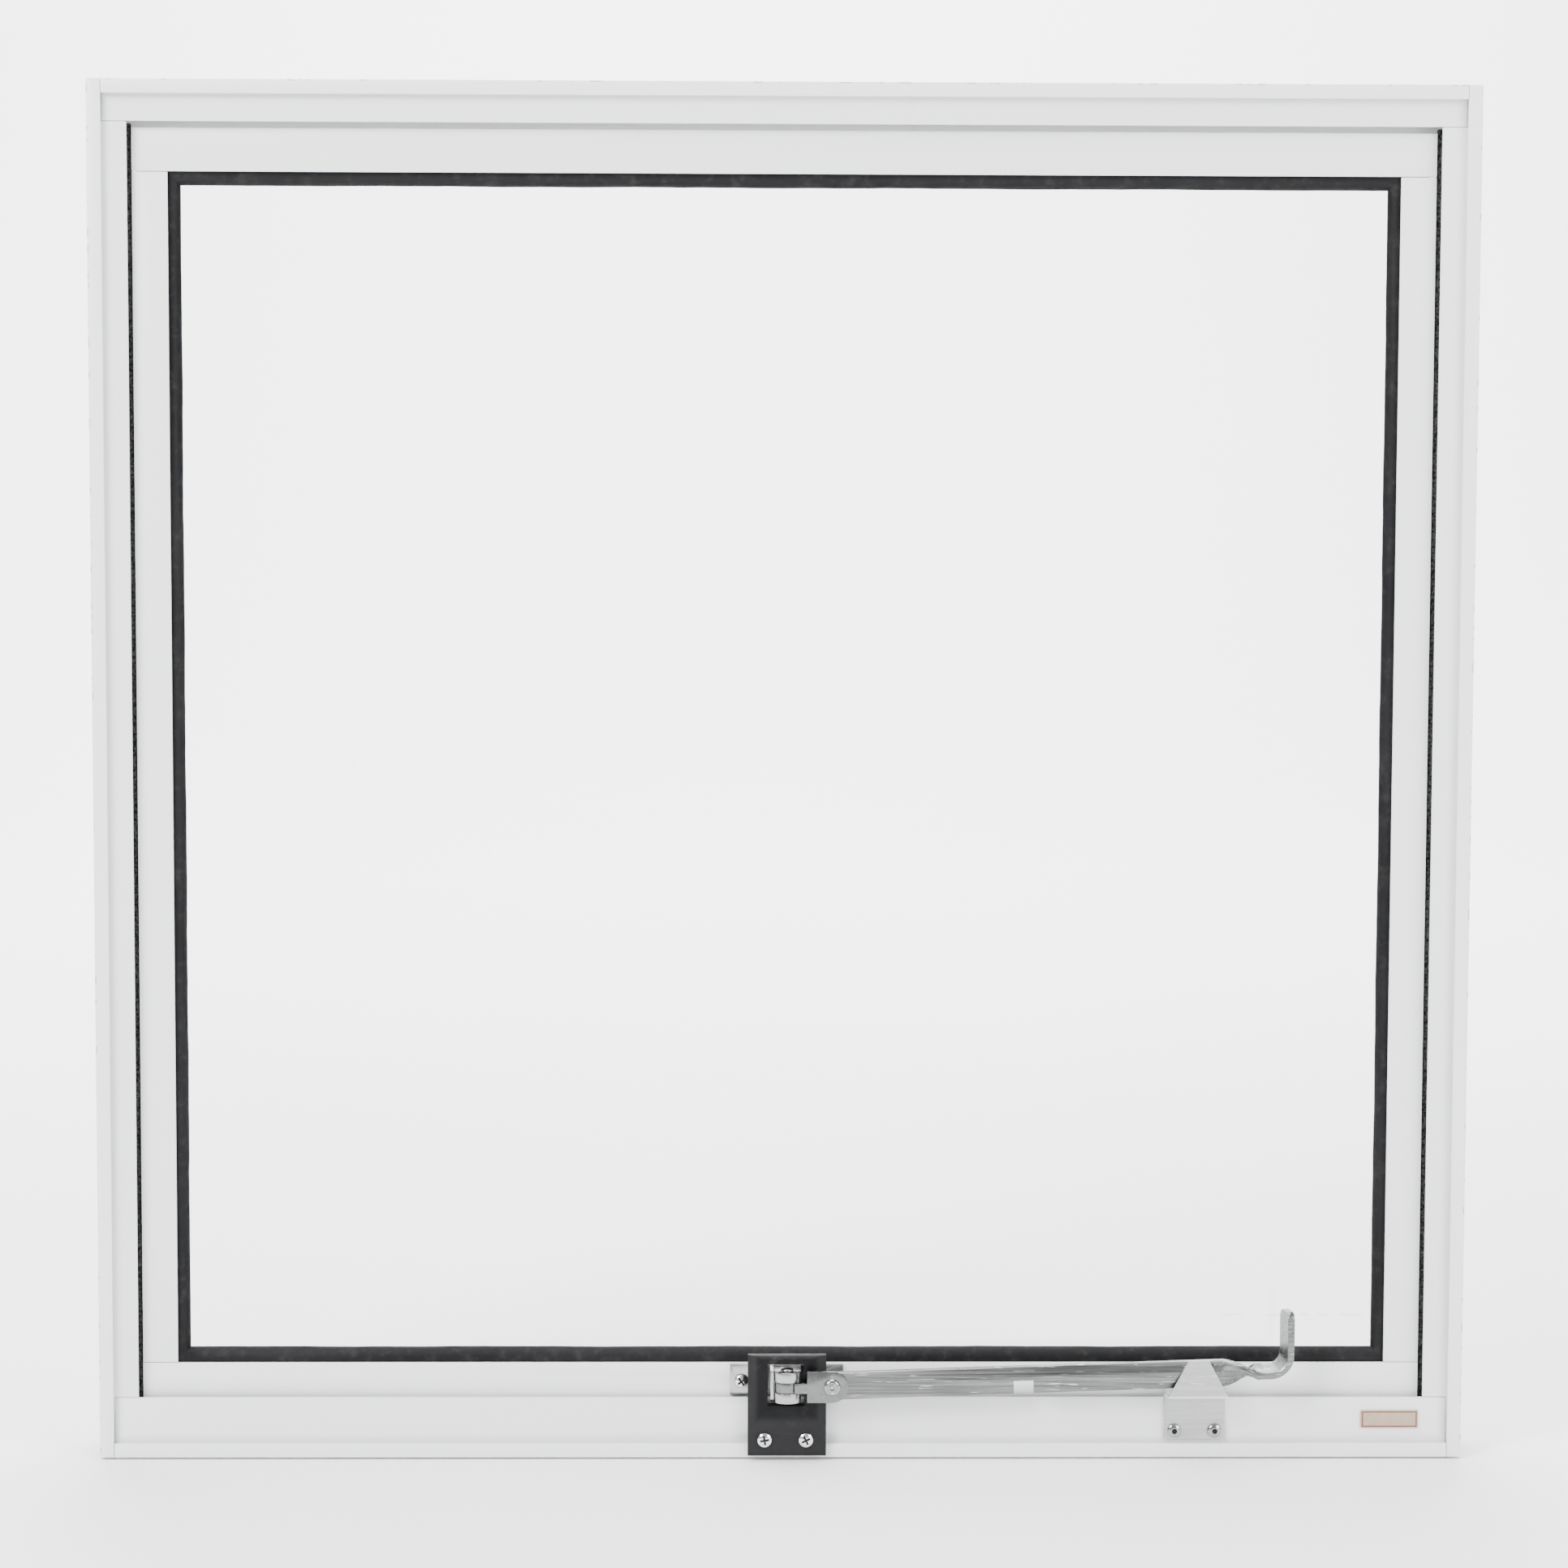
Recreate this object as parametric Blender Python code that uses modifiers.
"""Top-hung aluminium window with a folding lever stay.

X runs left to right as seen from the room, +Y points outdoors and +Z is up. The origin is the
middle of the sill's underside. Depths below are measured from the frame's front lip, and the
whole window is moved back by half the frame's depth at the end. Lengths are in metres.
The sash hangs on two pivots near its top edge and swings outdoors. A bracket on its bottom rail
carries a link that turns about an upright pin, and the flat lever is riveted to the link. With
the sash shut the lever lies across the sash behind a keeper. Turned square to the sash, it
slides through the window of a guide screwed to the sill and holds the sash open.
"""

from math import cos, pi, radians, sin

import bmesh
import bpy
from mathutils import Matrix, Vector

MM = 0.001
GAP = 0.3 * MM        # between pieces that touch
FREE = 0.08 * MM      # radial play of a pin that turns in its hole

# Frame
FRAME_W = 600 * MM
FRAME_H = 600 * MM
FRAME_DEPTH = 44 * MM
WALL = 1.5 * MM
LIP = 6 * MM          # width of the front edge strip
BAND_Y = 3 * MM       # the stepped-back band behind the lip
JAMB_BAND = 16.6 * MM
HEAD_BAND = 17.6 * MM
SILL_BAND = 26.0 * MM
JAMB_BOX = 13 * MM    # outer edge to the far side of the jamb's box
HEAD_REAR = 17 * MM   # the head's outdoor drip flange, which closes the gap over the sash
PORT = (25 * MM, 4.8 * MM)   # depth and inset of the screw port along head and sill
PORT_HOLE = 2.2 * MM

# Sash
SASH_INSET = 18 * MM  # frame edge to sash edge at the sides
SASH_TOP = 20 * MM
SASH_BOTTOM = 22 * MM
SASH_Y = 8 * MM       # room face of the sash
SASH_DEPTH = 25 * MM
RAIL = 18.5 * MM
STILE = 15.3 * MM
GLASS_Y = 14 * MM
GLASS_THICK = 4 * MM
GLASS_INSET = 12 * MM # sash edge to glass edge
GASKET_SHOWN = 5 * MM # width of rubber seen at the sides of the glass
GASKET_MORE = (1.1 * MM, 0.7 * MM)   # and how much more shows along its foot and its top

# Pivots, inset from the sash's top edge
PIVOT_R = 2.0 * MM
PIVOT_Y = 17 * MM
PIVOT_DROP = 5 * MM

# Lever stay
STAY_X = 2 * MM       # the hinge pin stands just right of the middle
PIN_Y = -6.6 * MM
PIN_R = 2.0 * MM
LUG_R = 6.0 * MM
LUG_LOW = 26.8 * MM
LUG_TALL = 4.3 * MM
TONGUE_TALL = 4.3 * MM
RIVET_REACH = 19.6 * MM      # hinge pin to lever rivet
RIVET_Z = 34.2 * MM
RIVET_R = 2.5 * MM
LINK_FRONT = -12.3 * MM
LINK_THICK = 1.8 * MM
LINK_END_R = 6.9 * MM
LEVER_TALL = 12 * MM
LEVER_THICK = 3.0 * MM
LEVER_TILT = radians(1.9)
LEVER_STRAIGHT = 171 * MM    # rivet to the start of the twist
LEVER_TWIST = radians(-100)
TWIST_LENGTH = 15 * MM
HANDLE_FLAT = 6 * MM
HANDLE_BEND_R = 8 * MM
HANDLE_RISE = 19 * MM
NOTCH_AT = 84 * MM
NOTCH_WIDE = 8.8 * MM
NOTCH_DEEP = 5.6 * MM
BRACKET_WIDE = 50 * MM
BRACKET_TALL = 13.5 * MM
BRACKET_THICK = 1.2 * MM
BRACKET_SCREW = 20 * MM

# Guide and keeper on the sill
GUIDE_WIDE = 34.5 * MM
GUIDE_LOW = 1.6 * MM
GUIDE_HIGH = 46.5 * MM
GUIDE_FACE = -6.2 * MM
GUIDE_FOOT_FACE = -3.3 * MM
GUIDE_WINDOW = (-8.5 * MM, 7.5 * MM, 24.5 * MM, 43.0 * MM)
GUIDE_SCREWS = (-9.8 * MM, 8.4 * MM)
GUIDE_SCREW_Z = 8.6 * MM
KEEPER_X = 182.2 * MM
KEEPER_WIDE = 26.8 * MM
KEEPER_LOW = 7.8 * MM
KEEPER_THICK = 1.2 * MM
KEEPER_LEDGE = 30.4 * MM
KEEPER_TOP = 46.0 * MM
KEEPER_TOP_WIDE = 10.2 * MM
KEEPER_RIVETS = 8.9 * MM
KEEPER_RIVET_Z = 11.4 * MM
LABEL = (25.3 * MM, 7.8 * MM, 0.5 * MM)
LABEL_AT = (268.7 * MM, 16.4 * MM)

WHITE = ((0.83, 0.84, 0.84), 0.38, 0.0)
BLACK = ((0.03, 0.03, 0.032), 0.55, 0.0)
RUBBER = ((0.02, 0.02, 0.022), 0.75, 0.0)
STEEL = ((0.62, 0.63, 0.64), 0.3, 1.0)
BRIGHT = ((0.74, 0.75, 0.76), 0.18, 1.0)
GLASS = ((0.82, 0.88, 0.87), 0.03, 0.0)
CREAM = ((0.72, 0.66, 0.54), 0.5, 0.0)

for old in list(bpy.data.objects):
    bpy.data.objects.remove(old, do_unlink=True)

parts = bpy.data.collections.new("top_hung_window")
cutters = bpy.data.collections.new("cutters")
for group in (parts, cutters):
    bpy.context.scene.collection.children.link(group)


# ---------------------------------------------------------------- helpers

def material(name, look):
    colour, roughness, metallic = look
    made = bpy.data.materials.new(name)
    made.use_nodes = True
    shader = made.node_tree.nodes["Principled BSDF"]
    shader.inputs["Base Color"].default_value = (*colour, 1.0)
    shader.inputs["Roughness"].default_value = roughness
    shader.inputs["Metallic"].default_value = metallic
    return made


def add(name, mesh, look=None, place=(0, 0, 0), turn=(0, 0, 0)):
    """An object for a part, or for a cutter when it has no look."""
    made = bpy.data.objects.new(name, mesh)
    made.location, made.rotation_euler = place, turn
    if look:
        parts.objects.link(made)
        mesh.materials.append(material(name, look))
    else:
        cutters.objects.link(made)
        made.hide_render = True
        made.display_type = "WIRE"
    return made


def box(name, low, high, look=None):
    """A box between two corners, with its origin at its middle."""
    low, high = Vector(low), Vector(high)
    mesh, shape = bpy.data.meshes.new(name), bmesh.new()
    bmesh.ops.create_cube(shape, size=1.0, matrix=Matrix.Diagonal((*(high - low), 1.0)))
    shape.to_mesh(mesh)
    shape.free()
    return add(name, mesh, look, (low + high) / 2)


# Where a flat outline's own two directions and its thickness point, for each way it is pushed.
SWEEPS = {
    "X": Matrix(((0, 0, 1), (1, 0, 0), (0, 1, 0))),
    "Y": Matrix(((1, 0, 0), (0, 0, -1), (0, 1, 0))),
    "Z": Matrix.Identity(3),
}


def prism(name, loops, axis, low, high, look=None):
    """A flat outline with its holes, pushed along X, Y or Z from low to high."""
    curve = bpy.data.curves.new(name, "CURVE")
    curve.dimensions, curve.fill_mode = "2D", "BOTH"
    curve.extrude = (high - low) / 2
    for loop in loops:
        spline = curve.splines.new("POLY")
        spline.points.add(len(loop) - 1)
        for point, (u, v) in zip(spline.points, loop):
            point.co = (u, v, 0, 1)
        spline.use_cyclic_u = True
    outline = bpy.data.objects.new(name + "_outline", curve)
    bpy.context.scene.collection.objects.link(outline)
    graph = bpy.context.evaluated_depsgraph_get()
    mesh = bpy.data.meshes.new_from_object(outline.evaluated_get(graph))
    bpy.data.objects.remove(outline)
    bpy.data.curves.remove(curve)
    shape = bmesh.new()
    shape.from_mesh(mesh)
    bmesh.ops.remove_doubles(shape, verts=shape.verts, dist=1e-6)
    shape.transform(SWEEPS[axis].to_4x4())
    bmesh.ops.recalc_face_normals(shape, faces=shape.faces)
    mesh.name = name
    mesh.materials.clear()
    shape.to_mesh(mesh)
    shape.free()
    middle = {"X": (1, 0, 0), "Y": (0, 1, 0), "Z": (0, 0, 1)}[axis]
    return add(name, mesh, look, Vector(middle) * (low + high) / 2)


# Turns that lay a turned piece's own +Z along a direction.
ALONG = {"+X": (0, pi / 2, 0), "-X": (0, -pi / 2, 0), "-Y": (pi / 2, 0, 0),
         "+Z": (0, 0, 0), "-Z": (pi, 0, 0)}


def turned(name, profile, place, axis, look=None, sides=24):
    """A solid of revolution. The profile is (radius, height) pairs from its top to its bottom."""
    mesh = bpy.data.meshes.new(name)
    mesh.from_pydata([(r, 0, h) for r, h in profile],
                     [(k, k + 1) for k in range(len(profile) - 1)], [])
    made = add(name, mesh, look, place, ALONG[axis])
    screw = made.modifiers.new("turn", "SCREW")
    screw.steps = screw.render_steps = sides
    screw.use_merge_vertices = True
    screw.merge_threshold = 1e-5
    screw.use_smooth_shade = True
    return made


def rod(name, radius, length, place, axis, sides=24):
    """A plain round cutter that starts at its place and runs along its axis."""
    return turned(name, [(0, length), (radius, length), (radius, 0), (0, 0)], place, axis,
                  None, sides)


def combine(target, operation, *others):
    for other in others:
        modifier = target.modifiers.new(operation.lower(), "BOOLEAN")
        modifier.operation = operation
        modifier.solver = "EXACT"
        modifier.object = other
    return target


def cut(target, *others):
    return combine(target, "DIFFERENCE", *others)


def join(target, *others):
    return combine(target, "UNION", *others)


def arc(x, y, radius, start, end, steps):
    """Points along an arc, with both ends, by angle in degrees."""
    angles = [radians(start + (end - start) * k / steps) for k in range(steps + 1)]
    return [(x + radius * cos(a), y + radius * sin(a)) for a in angles]


def circle(x, y, radius, sides=24):
    return arc(x, y, radius, 0, 360, sides)[:-1]


def ring(x, low, high, width, more=(0, 0)):
    """The two loops of an upright rectangular ring, wider by some at its foot and its top."""
    outer = [(-x, low), (x, low), (x, high), (-x, high)]
    a, b, c = x - width, low + width + more[0], high - width - more[1]
    return [outer, [(-a, b), (a, b), (a, c), (-a, c)]]


def placed(loops, rule):
    return [[rule(*point) for point in loop] for loop in loops]


def empty(name, place, parent=None):
    made = bpy.data.objects.new(name, None)
    parts.objects.link(made)
    made.empty_display_size = 20 * MM
    made.location = Vector(place) - (Vector(parent["at"]) if parent else Vector())
    made["at"] = tuple(place)
    made.parent = parent
    return made


def ride(axis, *pieces):
    """Hangs pieces on an empty that stands on their joint's axis."""
    for piece in pieces:
        piece.location = piece.location - Vector(axis["at"])
        piece.parent = axis


CROSS_ARM, CROSS_WIDE, CROSS_DEEP = 2.05 * MM, 0.95 * MM, 0.9 * MM


def cross_recess(name, place, axis, spin):
    """A cutter for a cross recess, centred on a screw's top and turned by some degrees."""
    a, b = CROSS_ARM, CROSS_WIDE / 2
    c, d = cos(radians(spin)), sin(radians(spin))
    plus = [(a, -b), (a, b), (b, b), (b, a), (-b, a), (-b, b),
            (-a, b), (-a, -b), (-b, -b), (-b, -a), (b, -a), (b, -b)]
    plus = [(c * x - d * y, d * x + c * y) for x, y in plus]
    made = prism(name, [plus], "Z", -CROSS_DEEP, CROSS_DEEP)
    made.location, made.rotation_euler = place, ALONG[axis]
    return made


# ---------------------------------------------------------------- frame

def frame_section(band, rear):
    """Head or sill across its length, as (depth, inset from the outer edge)."""
    port_y, port_in = PORT
    half, reach = 4 * MM, port_in + 3.2 * MM
    outer = [(0, 0), (0, LIP), (BAND_Y, LIP), (BAND_Y, band), (BAND_Y + WALL, band),
             (BAND_Y + WALL, LIP - WALL), (WALL, LIP - WALL), (WALL, WALL),
             (port_y - half, WALL), (port_y - half, reach), (port_y + half, reach),
             (port_y + half, WALL), (FRAME_DEPTH - WALL, WALL), (FRAME_DEPTH - WALL, rear),
             (FRAME_DEPTH, rear), (FRAME_DEPTH, 0)]
    return [outer, circle(port_y, port_in, PORT_HOLE, 16)]


CROSS_HALF = FRAME_W / 2 - LIP - GAP
frame_head = prism("frame_head",
                   placed(frame_section(HEAD_BAND, HEAD_REAR), lambda y, w: (y, FRAME_H - w)),
                   "X", -CROSS_HALF, CROSS_HALF, WHITE)
frame_sill = prism("frame_sill", frame_section(SILL_BAND, 10 * MM),
                   "X", -CROSS_HALF, CROSS_HALF, WHITE)

COUNTERSINK = [(0, 0.3 * MM), (3.9 * MM, 0.3 * MM), (3.9 * MM, 0), (2.2 * MM, -2.0 * MM),
               (2.2 * MM, -4 * MM), (0, -4 * MM)]
CORNER_SCREW = [(0, -0.1 * MM), (3.4 * MM, -0.1 * MM), (1.8 * MM, -1.9 * MM),
                (1.8 * MM, -28 * MM), (0.4 * MM, -31 * MM), (0, -31 * MM)]
frame_jambs = {}
for side, sign, outwards in (("left", -1, "-X"), ("right", 1, "+X")):
    edge = sign * FRAME_W / 2
    outer = [(0, 0), (LIP, 0), (LIP, BAND_Y), (JAMB_BAND, BAND_Y), (JAMB_BAND, BAND_Y + WALL),
             (JAMB_BOX, BAND_Y + WALL), (JAMB_BOX, FRAME_DEPTH), (0, FRAME_DEPTH)]
    hollow = [(WALL, WALL), (LIP - WALL, WALL), (LIP - WALL, BAND_Y + WALL),
              (JAMB_BOX - WALL, BAND_Y + WALL), (JAMB_BOX - WALL, FRAME_DEPTH - WALL),
              (WALL, FRAME_DEPTH - WALL)]
    jamb = prism("frame_jamb_" + side,
                 placed([outer, hollow], lambda w, y, e=edge, s=sign: (e - s * w, y)),
                 "Z", 0, FRAME_H, WHITE)
    inner = sorted((edge - sign * LIP, edge - sign * (JAMB_BAND + WALL)))
    for end, low, high in (("foot", -WALL, SILL_BAND + GAP),
                           ("top", FRAME_H - HEAD_BAND - GAP, FRAME_H + WALL)):
        cut(jamb, box(f"cope_{side}_{end}", (inner[0], -WALL, low),
                      (inner[1], FRAME_DEPTH + WALL, high)))
    for end, z in (("top", FRAME_H - PORT[1]), ("foot", PORT[1])):
        place = (edge, PORT[0], z)
        cut(jamb, turned(f"sink_{side}_{end}", COUNTERSINK, place, outwards))
        turned(f"frame_screw_{side}_{end}", CORNER_SCREW, place, outwards, STEEL, 16)
    frame_jambs[side] = jamb

# ---------------------------------------------------------------- sash

SASH_HALF = FRAME_W / 2 - SASH_INSET
SASH_LOW, SASH_HIGH = SASH_BOTTOM, FRAME_H - SASH_TOP
PIVOT_Z = SASH_HIGH - PIVOT_DROP
BACK = SASH_Y + SASH_DEPTH
OUTER_LEAF = 22.3 * MM
SASH_SCREW = (28 * MM, 4 * MM)      # depth, and inset from the sash's side edge


def sash_section(width, tube, hollows):
    """Rail or stile across its length, as (depth, inset from the sash's edge)."""
    outer = [(SASH_Y, 0), (SASH_Y, width), (SASH_Y + WALL, width), (SASH_Y + WALL, tube),
             (OUTER_LEAF, tube), (OUTER_LEAF, width), (OUTER_LEAF + WALL, width),
             (OUTER_LEAF + WALL, tube - 0.3 * MM), (BACK, tube - 0.3 * MM), (BACK, 0)]
    return [outer, *hollows]


RAIL_TUBE, STILE_TUBE = 10 * MM, 8 * MM
rail_hollow = [(SASH_Y + WALL, WALL), (BACK - WALL, WALL),
               (BACK - WALL, RAIL_TUBE - WALL), (SASH_Y + WALL, RAIL_TUBE - WALL)]
stile_low, stile_high = SASH_SCREW[0] - 4 * MM, SASH_SCREW[0] + 3.5 * MM
stile_hollow = [(SASH_Y + WALL, WALL), (stile_low, WALL), (stile_low, STILE_TUBE - WALL),
                (SASH_Y + WALL, STILE_TUBE - WALL)]
stile_port = circle(*SASH_SCREW, PORT_HOLE, 16)

rail = sash_section(RAIL, RAIL_TUBE, [rail_hollow])
sash_top = prism("sash_top_rail", placed(rail, lambda y, v: (y, SASH_HIGH - v)),
                 "X", -SASH_HALF, SASH_HALF, WHITE)
sash_bottom = prism("sash_bottom_rail", placed(rail, lambda y, v: (y, SASH_LOW + v)),
                    "X", -SASH_HALF, SASH_HALF, WHITE)
stile = sash_section(STILE, STILE_TUBE, [stile_hollow, stile_port])
stiles = [prism("sash_stile_" + side,
                placed(stile, lambda y, v, s=sign: (s * (SASH_HALF - v), y)),
                "Z", SASH_LOW + RAIL + GAP, SASH_HIGH - RAIL - GAP, WHITE)
          for side, sign in (("left", -1), ("right", 1))]

LONG_SCREW = [(0, -0.1 * MM), (3.4 * MM, -0.1 * MM), (1.8 * MM, -1.9 * MM),
              (1.8 * MM, -36 * MM), (0.4 * MM, -39 * MM), (0, -39 * MM)]
LONG_SINK = COUNTERSINK[:4] + [(2.2 * MM, -12 * MM), (0, -12 * MM)]
sash_screws = []
for side, sign in (("left", -1), ("right", 1)):
    for end, rail_bar, z, axis in (("top", sash_top, SASH_HIGH, "+Z"),
                                   ("foot", sash_bottom, SASH_LOW, "-Z")):
        place = (sign * (SASH_HALF - SASH_SCREW[1]), SASH_SCREW[0], z)
        cut(rail_bar, turned(f"sink_sash_{side}_{end}", LONG_SINK, place, axis))
        sash_screws.append(turned(f"sash_screw_{side}_{end}", LONG_SCREW, place, axis, STEEL, 16))

glass = box("glass_pane",
            (-SASH_HALF + GLASS_INSET, GLASS_Y, SASH_LOW + GLASS_INSET),
            (SASH_HALF - GLASS_INSET, GLASS_Y + GLASS_THICK, SASH_HIGH - GLASS_INSET), GLASS)

# The rubber reaches under the leaves at its outer edge and shows inside them.
hidden = 4 * MM
x_edge = SASH_HALF - STILE + hidden
low_edge, high_edge = SASH_LOW + RAIL - hidden, SASH_HIGH - RAIL + hidden
gasket = prism("gasket_room_side",
               ring(x_edge, low_edge, high_edge, hidden + GASKET_SHOWN, GASKET_MORE),
               "Y", -(GLASS_Y - GAP), -(SASH_Y + WALL + GAP), RUBBER)
gasket_back = prism("gasket_outer_side", ring(x_edge, low_edge, high_edge, hidden + 2 * MM),
                    "Y", -(OUTER_LEAF - GAP), -(GLASS_Y + GLASS_THICK + GAP), RUBBER)
for piece in (gasket, gasket_back):
    piece.location = -piece.location

# ---------------------------------------------------------------- seals in the frame

for side, sign in (("left", -1), ("right", 1)):
    near = sign * (FRAME_W / 2 - JAMB_BOX - GAP)
    far = sign * (FRAME_W / 2 - SASH_INSET + 0.6 * MM)
    box("seal_jamb_" + side, (min(near, far), 9.5 * MM, SILL_BAND + 2 * MM),
        (max(near, far), 14 * MM, PIVOT_Z - 9 * MM), RUBBER)
box("seal_sill", (-SASH_HALF + 2 * MM, BAND_Y + WALL + GAP, SASH_LOW + 0.5 * MM),
    (SASH_HALF - 2 * MM, SASH_Y - GAP, SILL_BAND - 1.1 * MM), RUBBER)

# ---------------------------------------------------------------- pivots

bushes = []
for side, sign, outwards in (("left", -1, "-X"), ("right", 1, "+X")):
    wall_x = sign * (FRAME_W / 2 - JAMB_BOX)
    place = (wall_x, PIVOT_Y, PIVOT_Z)
    cut(frame_jambs[side], rod("pivot_hole_" + side, PIVOT_R + GAP, 3 * WALL,
                               (wall_x - sign * WALL, PIVOT_Y, PIVOT_Z), outwards))
    turned("pivot_pin_" + side,
           [(0, WALL + 1.8 * MM), (3.6 * MM, WALL + 1.8 * MM), (3.6 * MM, WALL + GAP),
            (PIVOT_R, WALL + GAP), (PIVOT_R, -GAP), (4 * MM, -GAP), (4 * MM, -1.6 * MM),
            (PIVOT_R, -1.6 * MM), (PIVOT_R, -16 * MM), (0, -16 * MM)],
           place, outwards, STEEL)
    reach = sorted((sign * (SASH_HALF - 0.4 * MM), sign * (SASH_HALF - 12 * MM)))
    bush = box("pivot_bush_" + side,
               (reach[0], SASH_Y + WALL + GAP, SASH_HIGH - RAIL_TUBE + WALL + GAP),
               (reach[1], 23.5 * MM, SASH_HIGH - WALL - GAP), BLACK)
    cut(bush, rod("bush_bore_" + side, PIVOT_R + FREE, 20 * MM,
                  (sign * (SASH_HALF - 16 * MM), PIVOT_Y, PIVOT_Z), outwards))
    bushes.append(bush)

# ---------------------------------------------------------------- sash bracket and its pin

RIVET_X = STAY_X + RIVET_REACH
PLATE_BACK = SASH_Y - GAP
PLATE_FRONT = PLATE_BACK - BRACKET_THICK
bracket = box("sash_bracket",
              (STAY_X - BRACKET_WIDE / 2, PLATE_FRONT, LUG_LOW - GAP),
              (STAY_X + BRACKET_WIDE / 2, PLATE_BACK, LUG_LOW - GAP + BRACKET_TALL), STEEL)
lug = arc(STAY_X, PIN_Y, LUG_R, 180, 360, 16) + [(STAY_X + LUG_R, PLATE_BACK - WALL / 2),
                                                 (STAY_X - LUG_R, PLATE_BACK - WALL / 2)]
LUG_STEP = LUG_TALL + TONGUE_TALL + 2 * GAP
for name, low in (("lower", LUG_LOW), ("upper", LUG_LOW + LUG_STEP)):
    join(bracket, prism("lug_" + name, [lug, circle(STAY_X, PIN_Y, PIN_R + 0.05 * MM)],
                        "Z", low, low + LUG_TALL))
join(bracket, box("lug_web", (STAY_X - 7.3 * MM, PIN_Y + 1.2 * MM, LUG_LOW + 0.4 * MM),
                  (STAY_X - 5.9 * MM, PLATE_BACK - WALL / 2,
                   LUG_LOW + LUG_STEP + LUG_TALL - 0.4 * MM)))
SCREW_Z = LUG_LOW + 5.9 * MM
bracket_screws = []
for side, sign in (("left", -1), ("right", 1)):
    place = (STAY_X + sign * BRACKET_SCREW, PLATE_FRONT - GAP, SCREW_Z)
    hole = rod("bracket_hole_" + side, 2.1 * MM, 12 * MM, place, "-Y")
    hole.location.y += 9 * MM
    cut(bracket, hole)
    cut(sash_bottom, hole)
    head = turned("bracket_screw_" + side,
                  [(0, 1.9 * MM), (1.5 * MM, 1.7 * MM), (2.6 * MM, 1.1 * MM), (3.0 * MM, 0),
                   (1.6 * MM, 0), (1.6 * MM, -5.5 * MM), (0, -7 * MM)],
                  place, "-Y", BRIGHT)
    cut(head, cross_recess("bracket_cross_" + side, (place[0], place[1] - 1.9 * MM, place[2]),
                           "-Y", 20 - 17 * sign))
    bracket_screws.append(head)

stack = LUG_STEP + LUG_TALL
hinge_pin = turned("hinge_pin",
                   [(0, stack + 1.1 * MM), (2.6 * MM, stack + 0.9 * MM), (2.9 * MM, stack + GAP),
                    (PIN_R, stack + GAP), (PIN_R, -GAP), (2.9 * MM, -GAP),
                    (2.6 * MM, -0.9 * MM), (0, -1.1 * MM)],
                   (STAY_X, PIN_Y, LUG_LOW), "+Z", BRIGHT)

# ---------------------------------------------------------------- link

TONGUE_LOW = LUG_LOW + LUG_TALL + GAP
LINK_BACK = LINK_FRONT + LINK_THICK
NECK = 8.7 * MM
low, high = RIVET_Z - LINK_END_R, RIVET_Z + LINK_END_R
link_outline = ([(STAY_X + NECK, low)] + arc(RIVET_X, RIVET_Z, LINK_END_R, -90, 90, 16)
                + [(STAY_X + NECK, high)])
link = prism("link", [link_outline, circle(RIVET_X, RIVET_Z, RIVET_R + 0.05 * MM)],
             "Y", -LINK_BACK, -LINK_FRONT, STEEL)
link.location = -link.location
join(link,
     box("link_neck", (STAY_X + 3.2 * MM, LINK_FRONT, TONGUE_LOW),
         (STAY_X + NECK + 1 * MM, LINK_BACK, TONGUE_LOW + TONGUE_TALL)),
     prism("link_barrel", [circle(STAY_X, PIN_Y, -LINK_FRONT + PIN_Y, 32)],
           "Z", TONGUE_LOW, TONGUE_LOW + TONGUE_TALL))
cut(link, rod("link_bore", PIN_R + FREE, 12 * MM, (STAY_X, PIN_Y, TONGUE_LOW - 3 * MM), "+Z"))

LEVER_FRONT = LINK_BACK + GAP
LEVER_Y = LEVER_FRONT + LEVER_THICK / 2
rivet_long = LEVER_THICK + LINK_THICK + 3 * GAP
lever_rivet = turned("lever_rivet",
                     [(0, 1.1 * MM), (2.6 * MM, 0.9 * MM), (3.7 * MM, 0), (RIVET_R, 0),
                      (RIVET_R, -rivet_long), (3.5 * MM, -rivet_long),
                      (3.5 * MM, -rivet_long - 0.4 * MM), (0, -rivet_long - 0.4 * MM)],
                     (RIVET_X, LINK_FRONT - GAP, RIVET_Z), "-Y", BRIGHT)

# ---------------------------------------------------------------- lever

def lever_stations():
    """Along the lever from its rounded end: (place, heading, twist, half height)."""
    half = LEVER_TALL / 2
    here, stations = Vector((0, 0, 0)), []

    def along(distance, heading):
        return Vector((cos(heading), 0, sin(heading))) * distance

    for step in range(1, 6):
        angle = radians(18 * step)
        stations.append((along(-half * cos(angle), LEVER_TILT), LEVER_TILT, 0,
                         half * sin(angle)))
    here = along(LEVER_STRAIGHT, LEVER_TILT)
    steps = 8
    for step in range(steps + 1):
        share = step / steps
        stations.append((here + along(TWIST_LENGTH * share, LEVER_TILT), LEVER_TILT,
                         LEVER_TWIST * share, half))
    here = here + along(TWIST_LENGTH + HANDLE_FLAT, LEVER_TILT)
    centre = here + along(HANDLE_BEND_R, LEVER_TILT + pi / 2)
    steps = 8
    for step in range(steps + 1):
        heading = LEVER_TILT + (pi / 2 - LEVER_TILT) * step / steps
        stations.append((centre - along(HANDLE_BEND_R, heading + pi / 2), heading,
                         LEVER_TWIST, half))
    top = centre + Vector((HANDLE_BEND_R, 0, 0))
    for rise, share in ((HANDLE_RISE - 3 * MM, 1.0), (HANDLE_RISE - 1.2 * MM, 0.88),
                        (HANDLE_RISE, 0.6)):
        stations.append((top + Vector((0, 0, rise)), pi / 2, LEVER_TWIST, half * share))
    return stations


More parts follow.
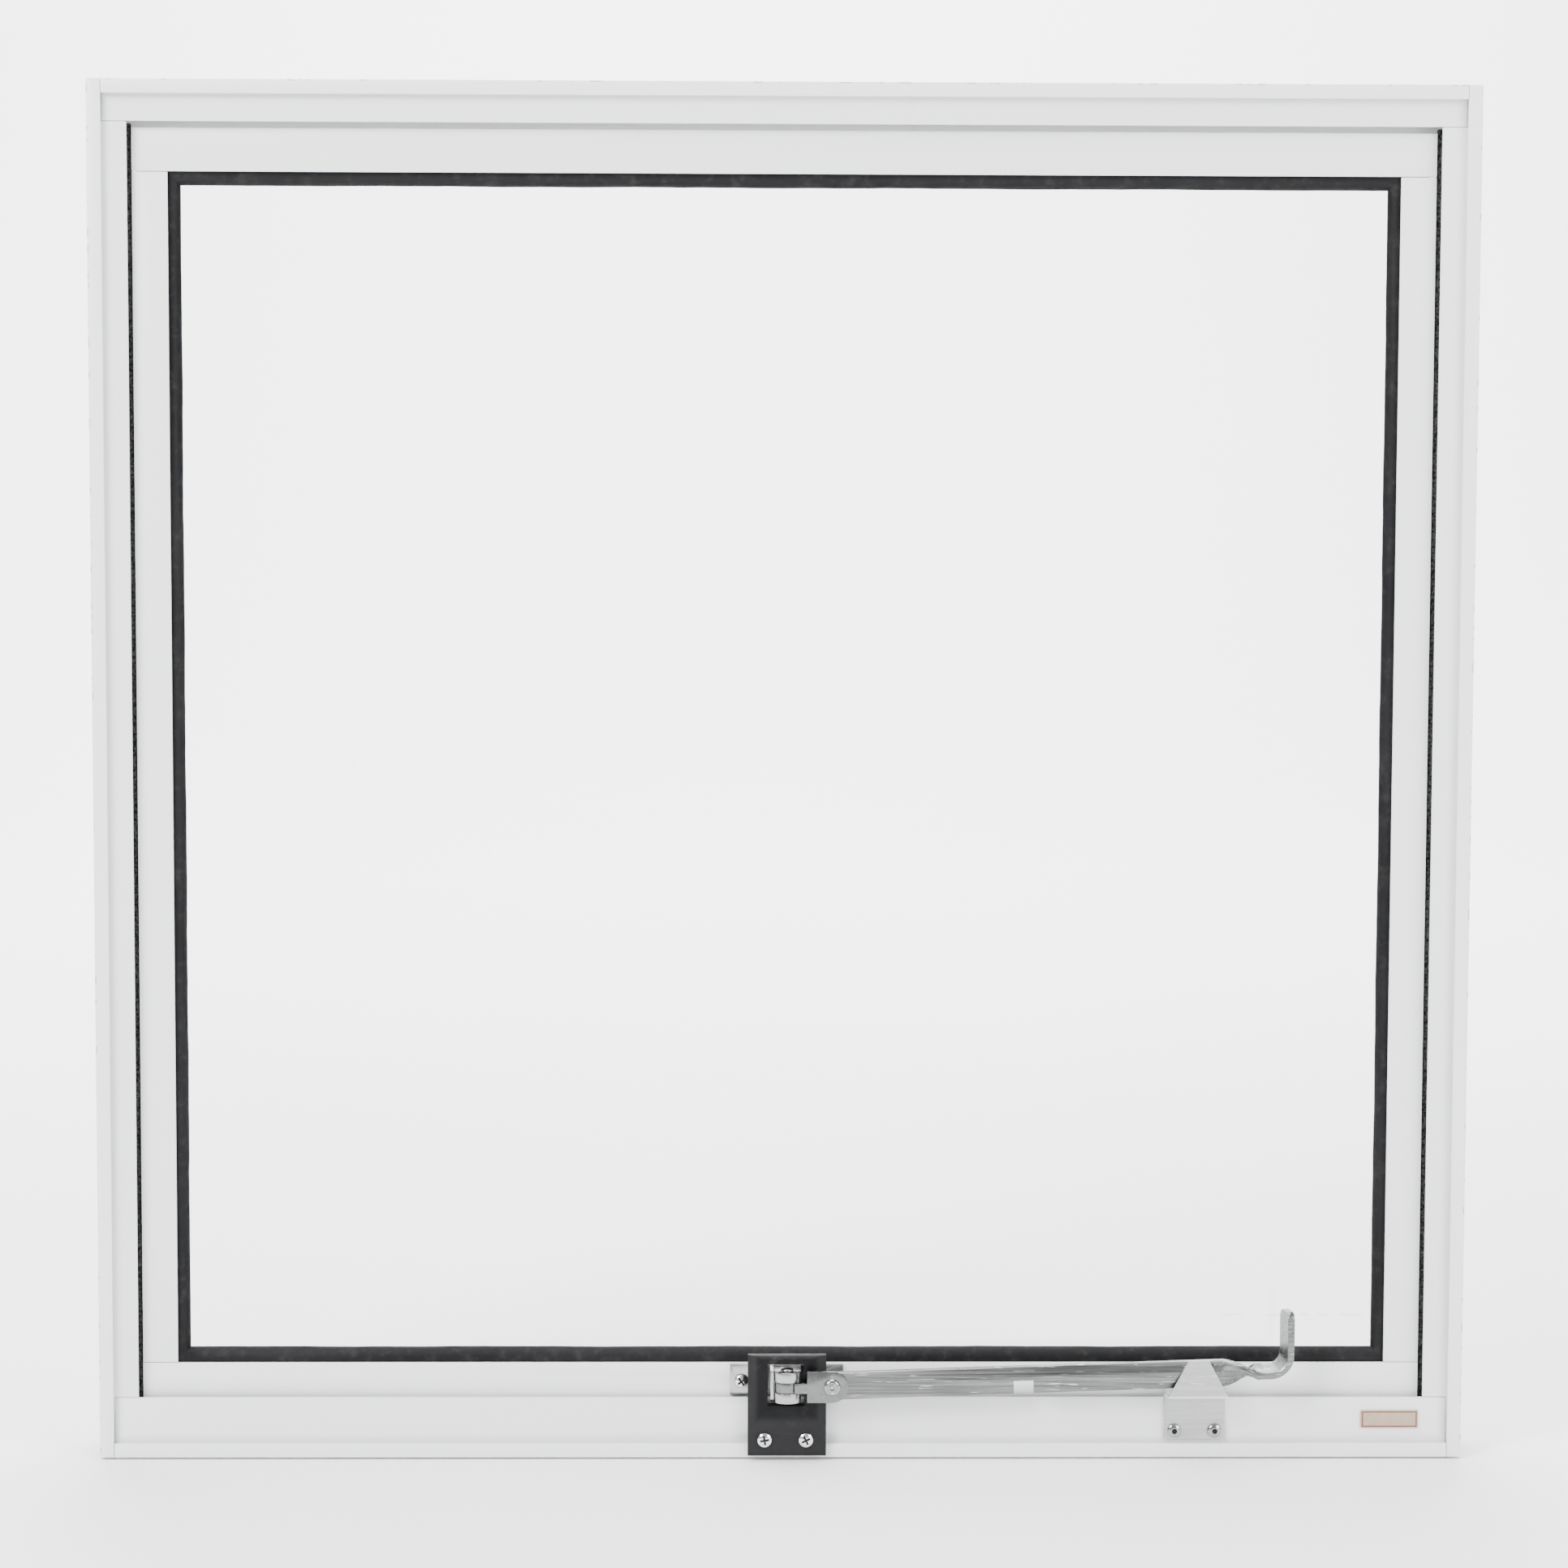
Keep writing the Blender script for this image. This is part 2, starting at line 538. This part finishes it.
def lever_mesh(name):
    """A bar with chamfered edges, lofted along the stations."""
    shape, loops = bmesh.new(), []
    for place, heading, twist, half in lever_stations():
        across = Vector((-sin(heading), 0, cos(heading)))
        deep = Vector((0, 1, 0))
        tall = across * cos(twist) + deep * sin(twist)
        thick = deep * cos(twist) - across * sin(twist)
        t, c = LEVER_THICK / 2, 0.4 * MM
        corners = [(half - c, -t), (half, -t + c), (half, t - c), (half - c, t),
                   (c - half, t), (-half, t - c), (-half, -t + c), (c - half, -t)]
        loops.append([shape.verts.new(place + tall * a + thick * b) for a, b in corners])
    for near, far in zip(loops, loops[1:]):
        for k in range(len(near)):
            nxt = (k + 1) % len(near)
            shape.faces.new((near[k], near[nxt], far[nxt], far[k]))
    shape.faces.new(loops[0])
    shape.faces.new(loops[-1])
    bmesh.ops.recalc_face_normals(shape, faces=shape.faces)
    mesh = bpy.data.meshes.new(name)
    shape.to_mesh(mesh)
    shape.free()
    return mesh


lever = add("lever", lever_mesh("lever"), STEEL, (RIVET_X, LEVER_Y, RIVET_Z))
notch = box("lever_notch",
            (-NOTCH_WIDE / 2, -LEVER_THICK, -LEVER_TALL),
            (NOTCH_WIDE / 2, LEVER_THICK, -LEVER_TALL / 2 + NOTCH_DEEP))
lean = Matrix.Rotation(-LEVER_TILT, 3, "Y")
notch.location = (Vector((RIVET_X, LEVER_Y, RIVET_Z))
                  + lean @ (Vector((NOTCH_AT, 0, 0)) + notch.location))
notch.rotation_euler = (0, -LEVER_TILT, 0)
cut(lever, notch, rod("lever_hole", RIVET_R + FREE, 4 * LEVER_THICK,
                      (RIVET_X, LEVER_Y + 2 * LEVER_THICK, RIVET_Z), "-Y"))

# ---------------------------------------------------------------- guide

x_low, x_high = STAY_X - GUIDE_WIDE / 2, STAY_X + GUIDE_WIDE / 2
side_view = [(-GAP, GUIDE_LOW), (GUIDE_FOOT_FACE, GUIDE_LOW), (GUIDE_FOOT_FACE, 12 * MM),
             (GUIDE_FACE, 21 * MM), (GUIDE_FACE, GUIDE_HIGH - 1.2 * MM),
             (GUIDE_FACE + 1.2 * MM, GUIDE_HIGH), (-GAP, GUIDE_HIGH)]
guide = prism("guide", [side_view], "X", x_low, x_high, BLACK)
flank = 5.5 * MM
plan_view = [(x_low, 0), (x_low, GUIDE_FOOT_FACE), (x_low + flank, GUIDE_FACE),
             (x_high - flank, GUIDE_FACE), (x_high, GUIDE_FOOT_FACE), (x_high, 0)]
combine(guide, "INTERSECT",
        prism("guide_plan", [plan_view], "Z", -5 * MM, GUIDE_HIGH + 5 * MM))
join(guide, box("guide_pad", (x_low + 1 * MM, -1 * MM, LIP + GAP),
                (x_high - 1 * MM, BAND_Y - GAP, SILL_BAND - 3 * MM)))
# The sill's band is relieved behind the guide's window, where the hinge pin and link pass low.
cut(frame_sill, box("stay_relief", (STAY_X - 7 * MM, BAND_Y - WALL, SILL_BAND - 1.5 * MM),
                    (STAY_X + 5 * MM, BAND_Y + 2 * WALL, SILL_BAND + WALL)))
left, right, foot, top = GUIDE_WINDOW
cut(guide, box("guide_window", (STAY_X + left, -12 * MM, foot), (STAY_X + right, 6 * MM, top)))
for side, offset in zip(("left", "right"), GUIDE_SCREWS):
    place = (STAY_X + offset, GUIDE_FOOT_FACE - GAP, GUIDE_SCREW_Z)
    hole = rod("guide_hole_" + side, 2.0 * MM, 16 * MM, place, "-Y")
    hole.location.y += 12 * MM
    cut(guide, hole)
    cut(frame_sill, hole)
    head = turned("guide_screw_" + side,
                  [(0, 1.2 * MM), (2.0 * MM, 1.1 * MM), (3.1 * MM, 0.4 * MM), (3.2 * MM, 0),
                   (1.6 * MM, 0), (1.6 * MM, -10 * MM), (0, -12 * MM)], place, "-Y", BRIGHT)
    cut(head, cross_recess("guide_cross_" + side, (place[0], place[1] - 1.2 * MM, place[2]),
                           "-Y", 10 if side == "left" else 26))

# ---------------------------------------------------------------- keeper

plate_back = BAND_Y - GAP
plate_front = plate_back - KEEPER_THICK
tab_back = LEVER_FRONT - 0.6 * MM
tab_front = tab_back - KEEPER_THICK
ledge_low = KEEPER_LEDGE - KEEPER_THICK
x_low, x_high = KEEPER_X - KEEPER_WIDE / 2, KEEPER_X + KEEPER_WIDE / 2
keeper = box("keeper", (x_low, plate_front, KEEPER_LOW), (x_high, plate_back, KEEPER_LEDGE),
             STEEL)
narrow = (KEEPER_WIDE - KEEPER_TOP_WIDE) / 2
tab = prism("keeper_tab", [[(x_low, ledge_low), (x_high, ledge_low),
                            (x_high - narrow, KEEPER_TOP - 1.4 * MM),
                            (x_low + narrow, KEEPER_TOP - 1.4 * MM)]],
            "Y", tab_front, tab_back)
tab.location.y = (tab_front + tab_back) / 2
flare = [(tab_back, KEEPER_TOP - 1.8 * MM), (tab_front, KEEPER_TOP - 1.8 * MM),
         (tab_front - 0.9 * MM, KEEPER_TOP), (tab_back - 0.9 * MM, KEEPER_TOP)]
join(keeper,
     box("keeper_ledge", (x_low, tab_front + 0.2 * MM, ledge_low),
         (x_high, plate_back - 0.2 * MM, KEEPER_LEDGE - 0.1 * MM)),
     tab,
     prism("keeper_flare", [flare], "X", x_low + narrow + 0.2 * MM, x_high - narrow - 0.2 * MM))
for side, sign in (("left", -1), ("right", 1)):
    place = (KEEPER_X + sign * KEEPER_RIVETS, plate_front - GAP, KEEPER_RIVET_Z)
    hole = rod("keeper_hole_" + side, 1.9 * MM, 12 * MM, place, "-Y")
    hole.location.y += 9 * MM
    cut(keeper, hole)
    cut(frame_sill, hole)
    turned("keeper_rivet_" + side,
           [(0, -4.5 * MM), (1.15 * MM, -4.5 * MM), (1.15 * MM, 1.0 * MM), (1.8 * MM, 0.9 * MM),
            (3.0 * MM, 0.3 * MM), (3.0 * MM, 0), (1.6 * MM, 0), (1.6 * MM, -6 * MM),
            (0, -6 * MM)], place, "-Y", BRIGHT)

wide, tall, thick = LABEL
box("label_plate",
    (LABEL_AT[0] - wide / 2, BAND_Y - GAP - thick, LABEL_AT[1] - tall / 2),
    (LABEL_AT[0] + wide / 2, BAND_Y - GAP, LABEL_AT[1] + tall / 2), CREAM)

# ---------------------------------------------------------------- joint axes

sash_axis = empty("sash_axis", (0, PIVOT_Y, PIVOT_Z))
link_axis = empty("link_axis", (STAY_X, PIN_Y, LUG_LOW), sash_axis)
lever_axis = empty("lever_axis", (RIVET_X, LEVER_Y, RIVET_Z), link_axis)
ride(sash_axis, sash_top, sash_bottom, *stiles, *sash_screws, glass, gasket, gasket_back,
     *bushes, bracket, *bracket_screws, hinge_pin)
ride(link_axis, link, lever_rivet)
ride(lever_axis, lever)

# Everything, cutters included, moves back together, so that the origin is at mid-depth.
window = empty("window_origin", (0, 0, 0))
for piece in [*parts.objects, *cutters.objects]:
    if piece.parent is None and piece is not window:
        piece.parent = window
window.location.y = -FRAME_DEPTH / 2
